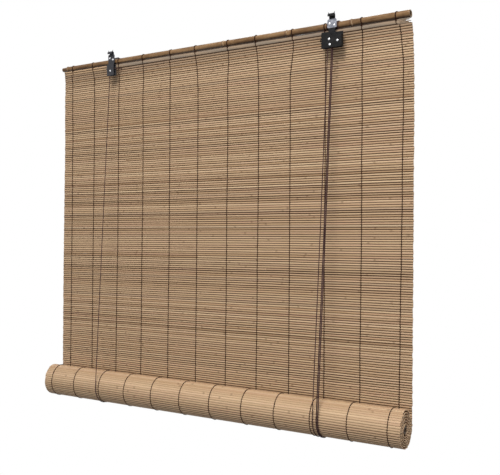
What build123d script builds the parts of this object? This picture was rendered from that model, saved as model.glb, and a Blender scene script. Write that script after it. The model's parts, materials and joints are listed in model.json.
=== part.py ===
from build123d import *
import os
from math import acos, atan2, cos, degrees, hypot, pi, radians, sin, tan

# A bamboo roll up blind, partly rolled up. Millimetres, +Z up, the front is -Y.
# The origin lies on the line through both hooks, halfway along the mat.

# Mat of split reeds
mat_width = 1200.0
slat_pitch = 6.2
slat_count = 160
slat_thick = 3.2
web_thick = 1.0
first_slat = 9.6
mat_top_gap = 0.8

# How far the mat stands behind the rod's axis as it hangs: it swings back from the rod, hangs
# straight for a while, and comes forward again to the roll
mat_top_set = -4.0
mat_swing_set = 6.5
mat_back_set = 12.0
mat_bottom_set = -2.6
mat_swing_depth = 40.0
mat_back_depth = 100.0
mat_straight = 130.0

# Gaps that show light between the slats
gap_rows = 1
gap_height = 0.8
gap_margin = 7.0

# Roll
roll_r = 43.0
lap_pitch = 4.8
ridged_laps = 1.1
lap_corners = 18
core_r = 9.2
core_wall = 3.0
core_inset = 2.0

# Woven threads
warp_count = 12
warp_margin = 32.4
warp_wide = 1.8
warp_thick = 0.9
roll_warp_share = 0.94
roll_warp_corners = 11
lash_wide = 2.6
lash_thick = 1.2
lash_loop_wide = 7.8
lash_sides = 6

# Cane across the top
rod_over_left = 5.0
rod_over_right = -4.0
rod_r_left = 7.5
rod_r_right = 9.9
rod_wall = 2.8
rod_bore_deep = 26.0
cane_sides = 24
node_places = [-571.0, -152.0, 40.0, 248.0, 439.0]
node_rise = 1.0
node_half = 2.0

# Hanger strips: each stands clear of a lashing, with a count of the mat's threads between that
# lashing and the mat's end
outer_warp_count = 2
hanger_clear_left = 5.0
hanger_clear_right = 17.0
strip_wide = 17.0
strip_thick = 1.5
cradle_slack = 1.6
cradle_back = 16.0
hook_r = 4.0
hook_rise = 24.0
hook_tip = 3.0
horn_rise = 4.5
horn_wide = 2.2

# Strap part of both back plates
plate_thick = 1.4
strap_wide = 26.0
strap_top = 16.5
strap_bottom = -6.5
neck_wide = 22.0
corner_cut = 1.2

# Rivets
rivet_r = 1.6
rivet_head_r = 2.9
rivet_head_rise = 1.5
rivet_tail = 0.7
rivet_sides = 12
hanger_rivet_x = 6.5
hanger_rivet_high = 5.0
hanger_rivet_low = -0.5

# Left pulley
pulley_gap = 9.0
pulley_shift = 5.0
pulley_wide = 27.5
pulley_top = -14.5
pulley_bottom = -47.5
pulley_axle_z = -32.6
left_pitch_r = 7.2

# Right cord lock
lock_left = -25.5
lock_right = 32.0
lock_top_left = -19.5
lock_top_right = -29.0
lock_bottom = -61.0
lock_step_x = 0.0
lock_axle_x = -3.1
lock_axle_z = -38.5
lock_pitch_r = 5.6
cam_x = 20.5
cam_z = -44.5
cam_hub_r = 5.0
cam_nose_r = 2.6
cam_nose_z = -51.0
cam_teeth = 4
guide_r = 2.6
guide_z = -52.5

# Fits
seat_gap = 0.3
run_gap = 0.05
cord_gap = 0.15

# Cords
cord_r = 1.0
cord_sides = 4
cord_exit_drop = 2.0
cord_bend_r = 10.0
back_bow_z = -150.0
back_bow_set = 16.9
back_bow_share = 0.45

# How far each cord moves along the blind between its lower and upper ends
left_lift_lean = 6.0
right_lift_lean = -8.0
pull_lean = -8.0
pull_spread = 5.0

# The cord from the left pulley goes through an eye in the mat, behind it, and back through another
eye_wide = 9.0
eye_high = 3.6
eye_set = 15.0
cross_slant = 0.57
cross_back_set = 6.0

# Hitches that tie the back cords to the cane, beside the hangers
hitch_thick = 1.6
hitch_sides = 8
knot_r = 3.0
hitch_set = 3.5

# Worked out from the sizes above
warp_pitch = (mat_width - 2 * warp_margin) / (warp_count - 1)
warp_places = [-mat_width / 2 + warp_margin + i * warp_pitch for i in range(warp_count)]
strip_reach = (lash_wide + strip_wide) / 2
left_x = warp_places[outer_warp_count] - strip_reach - hanger_clear_left
right_x = warp_places[-1 - outer_warp_count] + strip_reach + hanger_clear_right
rod_left = -mat_width / 2 - rod_over_left
rod_right = mat_width / 2 + rod_over_right
rod_r_max = max(rod_r_left, rod_r_right)
cane_nodes = [x for x in node_places if rod_left + node_half < x < rod_right - node_half]


def rod_radius(x):
    """The cane is thicker after each of its nodes."""
    passed = len([node for node in cane_nodes if node < x])
    return rod_r_left + (rod_r_right - rod_r_left) * passed / len(cane_nodes)


def rod_reach(x, half):
    """The cane's largest radius within a short stretch, with any node that stands in it."""
    near = [node for node in cane_nodes if abs(node - x) < half + node_half + seat_gap]
    return max([rod_radius(node + node_half) + node_rise for node in near] + [rod_radius(x)])


held_r = max(rod_reach(x, strip_wide / 2) for x in (left_x, right_x))
cradle_r = held_r + cradle_slack + strip_thick / 2
hook_mid_r = hook_r + strip_thick / 2
rod_y = cradle_r + hook_mid_r
rod_z = -hook_rise

# Sections are drawn from the rod's axis: side_plane looks along +X, front_plane from the front
side_plane = Plane(origin=(0, rod_y, rod_z), x_dir=(0, 1, 0), z_dir=(1, 0, 0))
front_plane = Plane(origin=(0, rod_y, rod_z), x_dir=(1, 0, 0), z_dir=(0, -1, 0))

mat_top = rod_r_max + seat_gap + max(strip_thick, lash_thick, hitch_thick) + mat_top_gap
mat_drop = first_slat + slat_count * slat_pitch
roll_mid_r = roll_r - slat_thick / 2
roll_y = mat_bottom_set - roll_mid_r
roll_z = -(mat_top + mat_drop)

strip_front = cradle_r + strip_thick / 2
plate_back = strip_front
plate_front = plate_back + plate_thick
cover_back = plate_front + pulley_gap
cover_front = cover_back + plate_thick
lane_mid = plate_front + pulley_gap / 2
sheave_wide = pulley_gap - 2 * seat_gap
lane_step = sheave_wide / 4
lane_front = lane_mid + lane_step
lane_back = lane_mid - lane_step
left_axle_x = left_x + pulley_shift
lock_x = right_x + lock_axle_x
pull_x = lock_x + lock_pitch_r
cam_pivot_x = right_x + cam_x
guide_x = pull_x - cord_r - seat_gap - guide_r
lock_holes = [(lock_x, lock_axle_z), (cam_pivot_x, cam_z), (guide_x, guide_z)]
left_cord_x = left_axle_x - left_pitch_r
lift_cord_x = lock_x - lock_pitch_r
over_left = pulley_axle_z + left_pitch_r
over_lock = lock_axle_z + lock_pitch_r
eye_left = left_axle_x + pulley_wide / 2 + eye_set
eye_right = right_x + lock_left - eye_set
thread_near = slat_thick / 2 + seat_gap
thread_far = thread_near + warp_thick
sling_r = roll_r + 2 * seat_gap + cord_r

os.makedirs("parts", exist_ok=True)


def save(part, name):
    part.label = name
    export_step(part, f"parts/{name}.step")


# Head rod: a cane in lengths that get thicker node by node, hollow at both ends
def cane_length(start, end, r, mode=Mode.ADD):
    with BuildSketch(side_plane.offset(start)) as section:
        RegularPolygon(r, cane_sides)
    extrude(to_extrude=section.sketch, amount=end - start, mode=mode)


with BuildPart() as head_rod:
    ends = [rod_left, *cane_nodes, rod_right]
    for start, end in zip(ends, ends[1:]):
        cane_length(start, end, rod_radius((start + end) / 2))
    for x in cane_nodes:
        cane_length(x - node_half, x + node_half, rod_radius(x + node_half) + node_rise)
    cane_length(rod_left, rod_left + rod_bore_deep, rod_r_left - rod_wall, Mode.SUBTRACT)
    cane_length(rod_right, rod_right - rod_bore_deep, rod_r_right - rod_wall, Mode.SUBTRACT)
save(head_rod.part, "head_rod")


# Slats: each is a ridge on both faces of one wall, with a groove between neighbours
mat_stations = [
    (0, mat_top_set),
    (mat_swing_depth, mat_swing_set),
    (mat_back_depth, mat_back_set),
    (mat_back_depth + mat_straight, mat_back_set),
    (mat_drop, mat_bottom_set),
]


def mat_set(depth):
    """How far the mat's middle stands behind the rod's axis, at a depth below its top."""
    for (upper, start), (lower, end) in zip(mat_stations, mat_stations[1:]):
        if depth <= lower:
            return start + (end - start) * (depth - upper) / (lower - upper)
    return mat_bottom_set


def hanging_outline():
    """Corners round the wall: down its back from groove to ridge to groove, and up its front."""
    back, front = [], []
    depths = [0] + [first_slat + i * slat_pitch for i in range(slat_count + 1)]
    for upper, lower in zip(depths, depths[1:] + [None]):
        back.append((mat_set(upper) + web_thick / 2, -mat_top - upper))
        front.append((mat_set(upper) - web_thick / 2, -mat_top - upper))
        if lower is not None:
            middle = (upper + lower) / 2
            back.append((mat_set(middle) + slat_thick / 2, -mat_top - middle))
            front.append((mat_set(middle) - slat_thick / 2, -mat_top - middle))
    return back + front[::-1]


def roll_place(turned, out):
    """A place in the roll, so far round from the hanging mat's end and out from the mat's middle."""
    r = roll_mid_r - lap_pitch * turned / (2 * pi) + out
    return (roll_y + r * cos(turned), roll_z - r * sin(turned))


def rolled_outline():
    """Corners round the rolled wall: ridges outside on the laps that show, plain further in."""
    outside, inside = [], []
    turned = seat_gap / roll_mid_r
    inmost = 2 * pi * (roll_mid_r - core_r - seat_gap - slat_thick / 2) / lap_pitch
    while turned < inmost:
        if turned < 2 * pi * ridged_laps:
            step = slat_pitch / roll_mid_r
            outside.append(roll_place(turned, web_thick / 2))
            outside.append(roll_place(turned + step / 2, slat_thick / 2))
        else:
            step = 2 * pi / lap_corners
            outside.append(roll_place(turned, slat_thick / 2))
        inside.append(roll_place(turned, -slat_thick / 2))
        turned += step
    return outside + inside[::-1]


with BuildPart() as reed_mat:
    with BuildSketch(side_plane.offset(-mat_width / 2)):
        with BuildLine():
            Polyline(*hanging_outline(), close=True)
        make_face()
    extrude(amount=mat_width)
    with BuildSketch(front_plane):
        # slots between the slats, one in each bay of every chosen row
        for row in [round((i + 1) * slat_count / (gap_rows + 1)) for i in range(gap_rows)]:
            z = -mat_top - first_slat - row * slat_pitch
            with Locations(*[(x + warp_pitch / 2, z) for x in warp_places[:-1]]):
                Rectangle(warp_pitch - 2 * gap_margin, gap_height)
        # the lashings pass under the first slat
        with Locations(*[(x, -mat_top - first_slat) for x in warp_places]):
            Rectangle(lash_wide + 2 * seat_gap, lash_thick + 2 * seat_gap)
        # eyes for the cord that runs behind the mat
        with Locations((eye_left, over_left), (eye_right, over_lock)):
            Rectangle(eye_wide, eye_high)
    extrude(amount=mat_back_set + slat_thick, both=True, mode=Mode.SUBTRACT)
save(reed_mat.part, "reed_mat")

with BuildPart() as rolled_mat:
    with BuildSketch(side_plane.offset(-mat_width / 2)):
        with BuildLine():
            Polyline(*rolled_outline(), close=True)
        make_face()
    extrude(amount=mat_width)
save(rolled_mat.part, "rolled_mat")

core_length = mat_width - 2 * core_inset
with BuildPart() as core_rod:
    with BuildSketch(side_plane.offset(-core_length / 2)):
        with Locations((roll_y, roll_z)):
            Circle(core_r)
            Circle(core_r - core_wall, mode=Mode.SUBTRACT)
    extrude(amount=core_length)
save(core_rod.part, "core_rod")


# Woven threads: a strip down the front and one down the back of every crossing of the slats
thread_top = first_slat + lash_thick / 2 + seat_gap


def thread_line(clear):
    """Places down the hanging mat, at a set distance from its middle."""
    depths = [thread_top] + [depth for depth, _ in mat_stations if depth > thread_top]
    return [(mat_set(depth) + clear, -mat_top - depth) for depth in depths]


for number, x in enumerate(warp_places, start=1):
    with BuildPart() as warp:
        with BuildSketch(side_plane.offset(x - warp_wide / 2)):
            for near, far in ((thread_near, thread_far), (-thread_near, -thread_far)):
                with BuildLine():
                    Polyline(*thread_line(near), *thread_line(far)[::-1], close=True)
                make_face()
        extrude(amount=warp_wide)
    save(warp.part, f"warp_{number:02d}")


def roll_thread(clear):
    """Places round the outer lap, clear of the ridges half way between two corners as well."""
    step = 2 * pi * roll_warp_share / roll_warp_corners
    swell = roll_mid_r * (1 / cos(step / 2) - 1)
    return [roll_place(i * step + thread_start, clear + swell) for i in range(roll_warp_corners + 1)]


thread_start = seat_gap / roll_mid_r
with BuildPart() as roll_warps:
    for x in warp_places:
        with BuildSketch(side_plane.offset(x - warp_wide / 2)):
            with BuildLine():
                Polyline(*roll_thread(thread_near), *roll_thread(thread_far)[::-1], close=True)
            make_face()
        extrude(amount=warp_wide)
save(roll_warps.part, "roll_warps")


def ring_sketch(inner, thick, sides):
    """A ring of flat sides round the cane, one of them underneath."""
    turn = 180 / sides
    RegularPolygon(inner + thick, sides, rotation=turn, major_radius=False)
    RegularPolygon(inner, sides, rotation=turn, major_radius=False, mode=Mode.SUBTRACT)


# Lashings: a ring round the cane, and a loop below it round the first slat
loop_bottom = -mat_top - first_slat - lash_thick / 2
loop_mid = mat_set(first_slat / 2)
with BuildPart() as rod_lashings:
    for x in warp_places:
        ring_r = rod_reach(x, lash_wide / 2) + seat_gap
        with BuildSketch(side_plane.offset(x - lash_wide / 2)):
            with Locations((loop_mid, (loop_bottom - ring_r) / 2)):
                Rectangle(lash_loop_wide, -ring_r - loop_bottom)
            with Locations((loop_mid, (loop_bottom - ring_r) / 2)):
                hole_high = -ring_r - loop_bottom - 2 * lash_thick
                Rectangle(lash_loop_wide - 2 * lash_thick, hole_high, mode=Mode.SUBTRACT)
            ring_sketch(ring_r, lash_thick, lash_sides)
        extrude(amount=lash_wide)
save(rod_lashings.part, "rod_lashings")


def rivet_hole(mode):
    """A hole that clears a rivet's shank all round."""
    RegularPolygon(rivet_r + run_gap, rivet_sides, major_radius=False, mode=mode)


# Hangers: one bent strip each, from the leg behind the cane to the hook
def make_hanger(name, x):
    drop = cradle_r - strip_thick / 2 - seat_gap - rod_reach(x, strip_wide / 2)
    with BuildPart() as hanger:
        with BuildSketch(side_plane.offset(x - strip_wide / 2)):
            with BuildLine():
                leg = Line((cradle_r, cradle_back), (cradle_r, drop))
                cradle = CenterArc((0, drop), cradle_r, 0, -180)
                neck = Line(cradle @ 1, (-cradle_r, hook_rise))
                hook = CenterArc((-cradle_r - hook_mid_r, hook_rise), hook_mid_r, 0, 180)
                Line(hook @ 1, hook @ 1 - Vector(0, hook_tip))
            trace(line_width=strip_thick)
        extrude(amount=strip_wide)
        # two horns stand up from the crown of the hook
        with BuildSketch(front_plane.offset(cradle_r + hook_mid_r - strip_thick / 2)):
            crown = hook_rise + hook_mid_r + strip_thick / 4
            for side in (-1, 1):
                edge = x + side * strip_wide / 2
                with BuildLine():
                    Polyline(
                        (edge, crown),
                        (edge + side * horn_wide / 2, crown + horn_rise),
                        (edge - side * horn_wide, crown),
                        close=True,
                    )
                make_face()
        extrude(amount=strip_thick)
        with BuildSketch(front_plane.offset(cradle_r - strip_thick)):
            with Locations(*hanger_rivet_places(x)):
                rivet_hole(Mode.ADD)
        extrude(amount=2 * strip_thick, mode=Mode.SUBTRACT)
    save(hanger.part, name)


def hanger_rivet_places(x):
    return [(x - hanger_rivet_x, hanger_rivet_high), (x + hanger_rivet_x, hanger_rivet_low)]


make_hanger("left_hanger", left_x)
make_hanger("right_hanger", right_x)


# Rivets: a round head in front, and a shank whose end stands out behind
def rivets_at(places, head_back, shank_back):
    head_front = head_back + rivet_head_rise
    for start, end, r in ((shank_back, head_back, rivet_r), (head_back, head_front, rivet_head_r)):
        with BuildSketch(front_plane.offset(start)) as discs:
            with Locations(*places):
                RegularPolygon(r, rivet_sides)
        extrude(to_extrude=discs.sketch, amount=end - start)


with BuildPart() as hanger_rivets:
    hanger_places = hanger_rivet_places(left_x) + hanger_rivet_places(right_x)
    rivets_at(hanger_places, plate_front, strip_front - strip_thick - rivet_tail)
save(hanger_rivets.part, "hanger_rivets")

with BuildPart() as axle_rivets:
    rivets_at([(left_axle_x, pulley_axle_z), *lock_holes], cover_front, plate_back - rivet_tail)
save(axle_rivets.part, "axle_rivets")


# Back plates: a strap on the hanger, a neck, and the plate that carries the pulley or the lock
def plate_sketch(left, right, bottom, top):
    with Locations(((left + right) / 2, (bottom + top) / 2)):
        Rectangle(right - left, top - bottom)


def make_back_plate(name, x, left, right, bottom, top, holes):
    with BuildPart() as plate:
        with BuildSketch(front_plane.offset(plate_back)) as outline:
            plate_sketch(x - strap_wide / 2, x + strap_wide / 2, strap_bottom, strap_top)
            plate_sketch(x - neck_wide / 2, x + neck_wide / 2, top, strap_bottom)
            plate_sketch(left, right, bottom, top)
            outer = outline.vertices().group_by(Axis.Y)
            chamfer(outer[-1] + outer[0], length=corner_cut)
            with Locations(*hanger_rivet_places(x), *holes):
                rivet_hole(Mode.SUBTRACT)
        extrude(amount=plate_thick)
    save(plate.part, name)


pulley_left = left_axle_x - pulley_wide / 2
pulley_right = left_axle_x + pulley_wide / 2
left_hole = (left_axle_x, pulley_axle_z)
make_back_plate("left_back_plate", left_x, pulley_left, pulley_right, pulley_bottom, pulley_top, [left_hole])

with BuildPart() as left_front_plate:
    with BuildSketch(front_plane.offset(cover_back)):
        plate_sketch(pulley_left, pulley_right, pulley_bottom, pulley_top)
        with Locations(left_hole):
            rivet_hole(Mode.SUBTRACT)
    extrude(amount=plate_thick)
    # the top is folded back to the plate behind
    with BuildSketch(front_plane.offset(plate_front)):
        plate_sketch(
            pulley_left + corner_cut,
            pulley_right - corner_cut,
            pulley_top - plate_thick,
            pulley_top,
        )
    extrude(amount=pulley_gap)
save(left_front_plate.part, "left_front_plate")


# Sheaves: a wide disc with a groove turned into its rim, and a bore for the axle
def make_sheave(name, x, z, pitch_r, lanes):
    groove_wide = 2 * (cord_r + seat_gap) + 2 * lane_step * (lanes - 1)
    back = plate_front + seat_gap
    with BuildPart() as sheave:
        with BuildSketch(front_plane.offset(back)):
            with Locations((x, z)):
                Circle(pitch_r + cord_r)
                rivet_hole(Mode.SUBTRACT)
        extrude(amount=sheave_wide)
        with BuildSketch(front_plane.offset(back + (sheave_wide - groove_wide) / 2)):
            with Locations((x, z)):
                Circle(pitch_r + 2 * cord_r)
                Circle(pitch_r - cord_r - seat_gap, mode=Mode.SUBTRACT)
        extrude(amount=groove_wide, mode=Mode.SUBTRACT)
    save(sheave.part, name)


make_sheave("left_sheave", left_axle_x, pulley_axle_z, left_pitch_r, 1)
make_sheave("lock_sheave", lock_x, lock_axle_z, lock_pitch_r, 2)

# Guide post: a sleeve on its rivet, against which the cam pinches the cords
with BuildPart() as guide_post:
    with BuildSketch(front_plane.offset(plate_front)):
        with Locations((guide_x, guide_z)):
            Circle(guide_r)
            rivet_hole(Mode.SUBTRACT)
    extrude(amount=pulley_gap)
save(guide_post.part, "guide_post")

# Cord lock: a flat back plate on the strap, and a cover with one folded side
make_back_plate(
    "lock_back_plate",
    right_x,
    right_x + lock_left,
    right_x + lock_right,
    lock_bottom,
    lock_top_left,
    lock_holes,
)

with BuildPart() as lock_front_plate:
    with BuildSketch(front_plane.offset(cover_back)):
        with BuildLine():
            Polyline(
                (right_x + lock_left, lock_bottom),
                (right_x + lock_right, lock_bottom),
                (right_x + lock_right, lock_top_right),
                (right_x + lock_step_x, lock_top_right),
                (right_x + lock_step_x, lock_top_left),
                (right_x + lock_left, lock_top_left),
                close=True,
            )
        make_face()
        with Locations(*lock_holes):
            rivet_hole(Mode.SUBTRACT)
    extrude(amount=plate_thick)
    # the right side is folded back to the plate behind
    with BuildSketch(front_plane.offset(plate_front)):
        lock_side = right_x + lock_right
        plate_sketch(lock_side - plate_thick, lock_side, lock_bottom, lock_top_right)
    extrude(amount=pulley_gap)
save(lock_front_plate.part, "lock_front_plate")

# Lock cam: a hub and a toothed nose that pinches both pull cords against the guide post
nose_x = pull_x + cord_r + seat_gap + cam_nose_r
with BuildPart() as lock_cam:
    with BuildSketch(front_plane.offset(plate_front + seat_gap)):
        with Locations((cam_pivot_x, cam_z)):
            Circle(cam_hub_r)
        with Locations((nose_x, cam_nose_z)):
            Circle(cam_nose_r)
        make_hull()
        with Locations((cam_pivot_x, cam_z)):
            rivet_hole(Mode.SUBTRACT)
        with Locations((nose_x, cam_nose_z)):
            with PolarLocations(cam_nose_r, cam_teeth, start_angle=130, angular_range=100):
                RegularPolygon(cam_nose_r / 5, 4, mode=Mode.SUBTRACT)
    extrude(amount=sheave_wide)
save(lock_cam.part, "lock_cam")


# Cords: tubes with a few flat sides
def cord_from(line):
    with BuildSketch(Plane(origin=line @ 0, z_dir=line % 0)) as section:
        RegularPolygon(cord_r, cord_sides)
    sweep(sections=section.sketch, path=line)


def place(x, set_back, z):
    """A point given from the rod's axis: along it, behind it and above it."""
    return Vector(x, rod_y + set_back, rod_z + z)


def make_cord(name, points, radii):
    with BuildPart() as cord:
        with BuildLine() as path:
            if radii:
                FilletPolyline(*points, radius=radii)
            else:
                Line(*points)
        cord_from(path.wire())
    length = round(path.wire().length, 1)
    print(name, "length", length, "radii", radii, "volume", round(cord.part.volume, 1))
    save(cord.part, name)


left_exit = pulley_bottom - cord_exit_drop
lock_exit = lock_bottom - cord_exit_drop

# Each front cord runs straight from its exit to where it meets the roll
foot_left_x = left_cord_x + left_lift_lean
foot_lift_x = lift_cord_x + right_lift_lean
foot_pull_a_x = pull_x + pull_lean
foot_pull_b_x = foot_pull_a_x + pull_spread
fronts = [
    ("left_lift_front", left_cord_x, lane_mid, left_exit, foot_left_x),
    ("right_lift_front", lift_cord_x, lane_front, lock_exit, foot_lift_x),
    ("pull_front_a", pull_x, lane_front, lock_exit, foot_pull_a_x),
    ("pull_front_b", pull_x, lane_back, lock_exit, foot_pull_b_x),
]


def touch_angle(lane, exit_z):
    """Angle round the roll, from its back over its top, where a tight cord from above meets it."""
    behind = -lane - roll_y
    above = exit_z - roll_z
    reach = hypot(behind, above)
    return atan2(above, behind) + acos(sling_r / reach)


sling_lines = []
for name, x, lane, exit_z, foot_x in fronts:
    touch = touch_angle(lane, exit_z)
    foot = place(foot_x, roll_y + sling_r * cos(touch), roll_z + sling_r * sin(touch))
    make_cord(name, [place(x, -lane, exit_z - cord_gap), foot], None)
    sling_lines.append((foot_x, degrees(touch)))

with BuildPart() as roll_slings:
    for x, touch in sling_lines:
        with BuildLine(side_plane.offset(x)) as bight:
            CenterArc((roll_y, roll_z), sling_r, 0, touch - 360)
        cord_from(bight.wire())
save(roll_slings.part, "roll_slings")

# The back cords lie against the mat and are hitched to the cane, clear of the hanger strips
hitch_left_x = left_x - strip_wide / 2 - hitch_set
hitch_pull_a_x = right_x + strip_wide / 2 + hitch_set
hitch_pull_b_x = hitch_pull_a_x + hitch_set
backs = [
    ("left_lift_back", hitch_left_x, foot_left_x),
    ("right_lift_back", foot_lift_x, foot_lift_x),
    ("pull_back_a", hitch_pull_a_x, foot_pull_a_x),
    ("pull_back_b", hitch_pull_b_x, foot_pull_b_x),
]
for name, hitch_x, foot_x in backs:
    hitch_back = rod_reach(hitch_x, cord_r) + seat_gap + hitch_thick
    bow_x = hitch_x + (foot_x - hitch_x) * back_bow_z / roll_z
    points = [
        place(hitch_x, hitch_back + seat_gap + cord_r, -knot_r - cord_gap),
        place(bow_x, back_bow_set, back_bow_z),
        place(foot_x, roll_y + sling_r, roll_z + cord_gap),
    ]
    turn = (points[1] - points[0]).get_angle(points[2] - points[1])
    run = (points[1] - points[0]).length
    make_cord(name, points, [back_bow_share * run / tan(radians(turn) / 2)])

# Hitches: a ring round the cane, with a knot behind it
with BuildPart() as cord_hitches:
    for _, hitch_x, _ in backs:
        ring_r = rod_reach(hitch_x, cord_r) + seat_gap
        with BuildSketch(side_plane.offset(hitch_x - cord_r)):
            with Locations((ring_r + hitch_thick, 0)):
                RegularPolygon(knot_r, hitch_sides, rotation=180 / hitch_sides, major_radius=False)
            ring_sketch(ring_r, hitch_thick, hitch_sides)
        extrude(amount=2 * cord_r)
save(cord_hitches.part, "cord_hitches")

# The left cord goes over its sheave, through the mat, along behind it and back to the lock
front_run = cross_slant * (lane_mid + mat_set(-over_left - mat_top))
back_run = cross_slant * (cross_back_set - mat_set(-over_left - mat_top))
lock_front_run = cross_slant * (lane_back + mat_set(-over_lock - mat_top))
lock_back_run = cross_slant * (cross_back_set - mat_set(-over_lock - mat_top))
cross_points = [
    place(left_cord_x, -lane_mid, left_exit),
    place(left_cord_x, -lane_mid, over_left),
    place(eye_left - front_run, -lane_mid, over_left),
    place(eye_left + back_run, cross_back_set, over_left),
    place(eye_right - lock_back_run, cross_back_set, over_lock),
    place(eye_right + lock_front_run, -lane_back, over_lock),
    place(pull_x, -lane_back, over_lock),
    place(pull_x, -lane_back, lock_exit),
]
cross_radii = [left_pitch_r, *[cord_bend_r] * 4, lock_pitch_r]

# The right cord only goes over the lock's sheave
lock_points = [
    place(lift_cord_x, -lane_front, lock_exit),
    place(lift_cord_x, -lane_front, over_lock),
    place(pull_x, -lane_front, over_lock),
    place(pull_x, -lane_front, lock_exit),
]
lock_radii = [lock_pitch_r, lock_pitch_r]

with BuildPart() as top_cords:
    for points, radii in ((cross_points, cross_radii), (lock_points, lock_radii)):
        with BuildLine() as path:
            FilletPolyline(*points, radius=radii)
        cord_from(path.wire())
        print("top cord length", round(path.wire().length, 1), "radii", radii)
save(top_cords.part, "top_cords")
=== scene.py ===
import json
from math import acos, atan2, cos, hypot, pi, radians, sin

import bpy
import numpy as np
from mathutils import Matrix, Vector


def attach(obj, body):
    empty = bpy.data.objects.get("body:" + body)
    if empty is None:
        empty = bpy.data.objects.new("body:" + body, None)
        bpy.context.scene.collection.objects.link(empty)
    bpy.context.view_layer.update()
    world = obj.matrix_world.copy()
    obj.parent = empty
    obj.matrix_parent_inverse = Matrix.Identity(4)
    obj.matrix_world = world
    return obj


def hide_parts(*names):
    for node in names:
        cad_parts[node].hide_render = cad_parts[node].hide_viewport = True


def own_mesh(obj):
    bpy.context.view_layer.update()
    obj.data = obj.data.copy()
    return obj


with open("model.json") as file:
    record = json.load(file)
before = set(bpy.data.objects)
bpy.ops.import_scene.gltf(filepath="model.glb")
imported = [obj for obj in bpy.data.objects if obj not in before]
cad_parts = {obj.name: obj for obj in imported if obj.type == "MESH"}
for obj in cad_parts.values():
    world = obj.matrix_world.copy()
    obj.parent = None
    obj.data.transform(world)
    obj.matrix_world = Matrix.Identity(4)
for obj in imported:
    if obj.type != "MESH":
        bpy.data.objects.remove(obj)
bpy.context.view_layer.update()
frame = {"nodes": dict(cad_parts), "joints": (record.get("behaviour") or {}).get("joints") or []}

# Lengths are in metres, written as millimetres times mm. Places in the blind are given from the cane's
# axis: along it, behind it and above it. Chance comes from one seeded source.
mm = 0.001
dice = np.random.default_rng(11)
axis = {"y": 16.52 * mm, "z": -24 * mm}
lift = [joint for joint in frame["joints"] if joint["name"] == "roll_lift"][0]["range_m"][1]

mat = {"width": 1200 * mm, "pitch": 6.2 * mm, "count": 160, "lath": 9.6 * mm, "top": 12.6 * mm}
mat["drop"] = mat["lath"] + mat["count"] * mat["pitch"]
mat["depths"] = [0, 40 * mm, 100 * mm, 230 * mm, mat["drop"]]
mat["sets"] = [-4 * mm, 6.5 * mm, 12 * mm, 12 * mm, -2.6 * mm]  # how far back it stands at those depths

thread = {"first": -567.6 * mm, "pitch": 103.2 * mm, "count": 12}
warpPlaces = [thread["first"] + i * thread["pitch"] for i in range(thread["count"])]

# The roll is taller than it is deep: the loops that carry it leave it a little oval
roll = {"r": 41.4 * mm, "lap": 4.8 * mm, "back": -44 * mm, "up": -1014.2 * mm, "core": 9.5 * mm}
roll["upper"] = 1.37
roll["lower"] = 1.13

# The cane's nodes stand at these places in mm, and its radius is given in mm at some places
cane = {"left": -600 * mm, "right": 596 * mm, "wall": 2.8 * mm, "bore": 26 * mm, "sides": 36}
cane["nodes"] = [-577, -152, 40, 248, 439]
cane["thickness"] = {-605: 6.3, -586: 6.5, -577: 7.9, -152: 8.2, 40: 8.7, 248: 9.2, 439: 9.6, 596: 9.9}


def place(x, back, up):
    return Vector((x, axis["y"] + back, axis["z"] + up))


def matSet(depth):
    return float(np.interp(depth, mat["depths"], mat["sets"]))


def matTilt(depth):
    step = 3 * mm
    return atan2(matSet(depth + step) - matSet(max(depth - step, 0)), 2 * step)


# A place in the roll's section, turned from its back down under it, and out from the slats' middle
def rollPoint(turn, out=0.0):
    r = roll["r"] - roll["lap"] * turn / (2 * pi)
    tall = roll["upper"] if sin(turn) < 0 else roll["lower"]
    high = roll["core"] + (r - roll["core"]) * tall + out
    return roll["back"] + (r + out) * cos(turn), roll["up"] - high * sin(turn)


def caneRadius(x):
    return float(np.interp(x / mm, list(cane["thickness"]), list(cane["thickness"].values()))) * mm


# Gives a socket a value or a link; a colour of three numbers is made solid
def wire(tree, socket, value):
    if isinstance(value, Field):
        tree.links.new(value.socket, socket)
    elif isinstance(value, tuple) and len(value) == 3 and len(socket.default_value) == 4:
        socket.default_value = (*value, 1.0)
    else:
        socket.default_value = value


# Makes any node: its type, its settings, what its sockets get by name or number, and the output to read
def newNode(tree, kind, settings=None, values=None, output=0):
    node = tree.nodes.new(kind)
    for name, value in (settings or {}).items():
        setattr(node, name, value)
    for key, value in (values or {}).items():
        wire(tree, node.inputs[key], value)
    return Field(tree, node.outputs[output]) if node.outputs else node


# A socket's value, which can be added, subtracted and multiplied like a number
class Field:
    def __init__(self, tree, socket):
        self.tree = tree
        self.socket = socket

    def math(self, operation, *others):
        return newNode(
            self.tree, "ShaderNodeMath", {"operation": operation}, dict(enumerate((self, *others)))
        )

    def __add__(self, other):
        return self.math("ADD", other)

    def __sub__(self, other):
        return self.math("SUBTRACT", other)

    def __mul__(self, other):
        return self.math("MULTIPLY", other)

    def __rsub__(self, other):
        return newNode(self.tree, "ShaderNodeMath", {"operation": "SUBTRACT"}, {0: other, 1: self})

    __radd__ = __add__
    __rmul__ = __mul__

    def ramp(self, low, high, start=0.0, end=1.0):
        values = dict(enumerate((self, low, high, start, end)))
        return newNode(self.tree, "ShaderNodeMapRange", {"interpolation_type": "SMOOTHSTEP"}, values)


def part(vector, letter):
    return newNode(vector.tree, "ShaderNodeSeparateXYZ", None, {0: vector}, "XYZ".index(letter))


def join(tree, x, y, z):
    return newNode(tree, "ShaderNodeCombineXYZ", None, {0: x, 1: y, 2: z})


def stretch(vector, scales):
    return newNode(vector.tree, "ShaderNodeVectorMath", {"operation": "MULTIPLY"}, {0: vector, 1: scales})


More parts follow.
